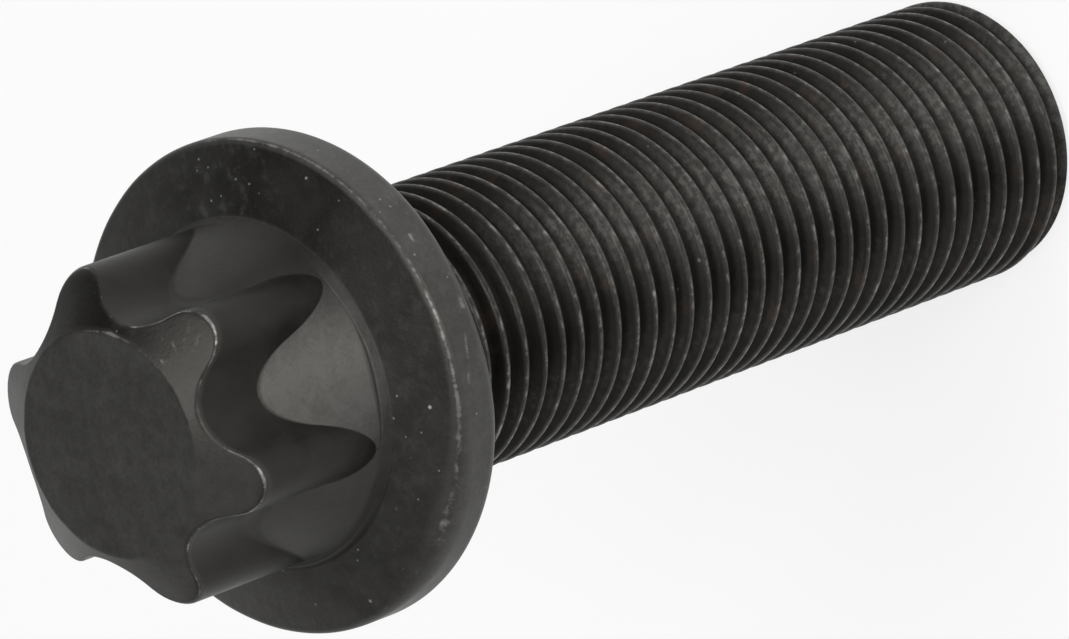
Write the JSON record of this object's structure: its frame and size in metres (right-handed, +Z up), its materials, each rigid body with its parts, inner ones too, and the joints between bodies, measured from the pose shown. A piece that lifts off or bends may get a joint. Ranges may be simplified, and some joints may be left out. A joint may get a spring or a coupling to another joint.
{
  "type": "flange screw",
  "caption": "Flange screw with an external six-lobe drive and a fully threaded fine-pitch shank, black-oxide steel, for clamping a joint into a tapped hole or nut.",
  "frame": {"origin": "centre of the shank's end, on the ground that the screw stands on", "axes": "+Z up along the screw's axis, from tip to head; +X through the tip of a lobe"},
  "size_m": [0.0268, 0.0268, 0.0703],
  "materials": {
    "black_oxide_steel": "matte black oxide, worn bright on edges"
  },
  "bodies": {
    "root": {"screw": "black_oxide_steel"}
  },
  "joints": []
}
